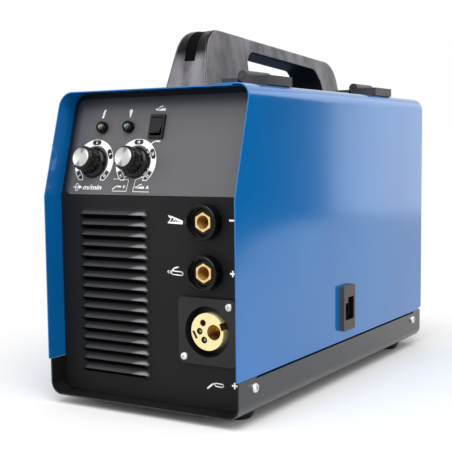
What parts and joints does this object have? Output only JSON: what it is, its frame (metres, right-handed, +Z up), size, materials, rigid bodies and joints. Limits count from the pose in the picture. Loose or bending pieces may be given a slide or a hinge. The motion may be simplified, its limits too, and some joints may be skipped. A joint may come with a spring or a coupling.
{
  "type": "mig welding machine",
  "caption": "Portable wire-feed welding machine in a folded blue steel case with a sloped control face, louvres, cable sockets, a torch socket, a carry handle and a hinged side door.",
  "frame": {"origin": "on the floor under the middle of the whole machine", "axes": "+Z up, +Y from the front panel to the rear panel, +X to the right of someone facing the front"},
  "size_m": [0.2392, 0.483, 0.3899],
  "materials": {
    "tray": "fine textured",
    "blue_sheet": "semi-gloss",
    "black_panel": "fine textured",
    "overlay": "satin",
    "black_plastic": "satin",
    "gloss_black": "gloss",
    "handle_grey": "textured",
    "latch_grey": "satin",
    "rubber": "matt",
    "soft_strip": "matt",
    "zinc": "plated",
    "cap_silver": "turned",
    "brass": "turned",
    "bright_pins": "bright",
    "galvanised": "galvanised",
    "cast_alloy": "cast",
    "roll_steel": "ground",
    "fin_alloy": "extruded",
    "copper_wire": "copper coated",
    "board_green": "solder mask",
    "sleeve": "shrink sleeve",
    "winding": "lacquer",
    "lens": "clear tinted",
    "red_key": "gloss",
    "valve_brass": "plain"
  },
  "bodies": {
    "case": {"base_tray": "tray", "rubber_feet": "rubber", "foot_screws": "zinc", "front_panel": "black_panel", "front_overlay": "overlay", "rear_panel": "black_panel", "rear_flanges": "black_panel", "main_cover": "blue_sheet", "ear_screws": "zinc", "hinge_fixed_leaves": "black_plastic", "handle_shell": "handle_grey", "handle_strip": "soft_strip", "handle_cheeks": "handle_grey", "handle_screws": "zinc", "potentiometers": "black_plastic", "control_board": "board_green", "lamp_holders": "gloss_black", "lamp_lenses": "lens", "mode_switch_frame": "black_plastic", "negative_socket": "black_plastic", "positive_socket": "black_plastic", "socket_contacts": "brass", "torch_flange": "black_plastic", "torch_brass": "brass", "torch_pins": "bright_pins", "panel_screws": "zinc", "divider_panel": "galvanised", "feed_plate": "cast_alloy", "feed_motor": "black_panel", "spool_spindle": "galvanised", "fan_frame": "black_plastic", "fan_grille": "zinc", "heat_sinks": "fin_alloy", "power_board": "board_green", "capacitors": "sleeve", "transformer": "winding", "gas_valve": "valve_brass", "gas_inlet": "valve_brass", "mains_switch_frame": "black_plastic", "cable_gland": "black_plastic"},
    "door": {"side_door": "blue_sheet", "hinge_door_leaves": "black_plastic", "hinge_pins": "bright_pins", "latch_body": "latch_grey"},
    "latch": {"latch_slider": "black_plastic"},
    "speed_dial": {"speed_knob": "black_plastic", "speed_knob_cap": "cap_silver"},
    "voltage_dial": {"voltage_knob": "black_plastic", "voltage_knob_cap": "cap_silver"},
    "mode_key": {"mode_rocker": "gloss_black"},
    "mains_key": {"mains_rocker": "red_key"},
    "fan": {"fan_rotor": "black_plastic"},
    "spool": {"spool_hub": "black_plastic", "wire_spool": "black_plastic", "wire_winding": "copper_wire", "spool_nut": "black_plastic"},
    "feed_roll": {"drive_roll": "roll_steel"},
    "arm": {"pressure_arm": "black_plastic"},
    "upper_roll": {"pressure_roll": "roll_steel"},
    "lever": {"tension_lever": "black_plastic"}
  },
  "joints": [
    {"name": "door_hinge", "type": "hinge", "parent": "case", "child": "door", "pos_m": [0.0743, -0.2415, 0.3363], "axis": [0, -1, 0], "range_deg": [0, 110]},
    {"name": "latch_slide", "type": "slide", "parent": "door", "child": "latch", "axis": [0, 0, 1], "range_m": [0, 0.008], "stiffness_N_per_m": 200},
    {"name": "speed_turn", "type": "hinge", "parent": "case", "child": "speed_dial", "pos_m": [-0.0765, -0.20684, 0.25134], "axis": [0, 0.9605, -0.2783], "range_deg": [0, 270]},
    {"name": "voltage_turn", "type": "hinge", "parent": "case", "child": "voltage_dial", "pos_m": [-0.0225, -0.20684, 0.25134], "axis": [0, 0.9605, -0.2783], "range_deg": [0, 270]},
    {"name": "mode_rock", "type": "hinge", "parent": "case", "child": "mode_key", "pos_m": [-0.00198, -0.19869, 0.28737], "axis": [1, 0, 0], "range_deg": [0, 20]},
    {"name": "mains_rock", "type": "hinge", "parent": "case", "child": "mains_key", "pos_m": [0.0611, 0.217, 0.29], "axis": [1, 0, 0], "range_deg": [0, 20]},
    {"name": "fan_spin", "type": "hinge", "parent": "case", "child": "fan", "pos_m": [-0.0444, 0.176, 0.084], "axis": [0, 1, 0], "continuous": true},
    {"name": "spool_spin", "type": "hinge", "parent": "case", "child": "spool", "pos_m": [0.0674, 0.092, 0.182], "axis": [1, 0, 0], "continuous": true},
    {"name": "feed_spin", "type": "hinge", "parent": "case", "child": "feed_roll", "pos_m": [0.0749, -0.1315, 0.0729], "axis": [1, 0, 0], "continuous": true},
    {"name": "arm_lift", "type": "hinge", "parent": "case", "child": "arm", "pos_m": [0.0749, -0.0935, 0.1077], "axis": [-1, 0, 0], "range_deg": [0, 40]},
    {"name": "upper_spin", "type": "hinge", "parent": "arm", "child": "upper_roll", "pos_m": [0.0749, -0.1315, 0.1037], "axis": [1, 0, 0], "continuous": true},
    {"name": "lever_swing", "type": "hinge", "parent": "case", "child": "lever", "pos_m": [0.0749, -0.1655, 0.1013], "axis": [-1, 0, 0], "range_deg": [0, 50]}
  ],
  "couplings": [
    {"joint": "upper_spin", "follows": "feed_spin", "ratio": -1}
  ]
}
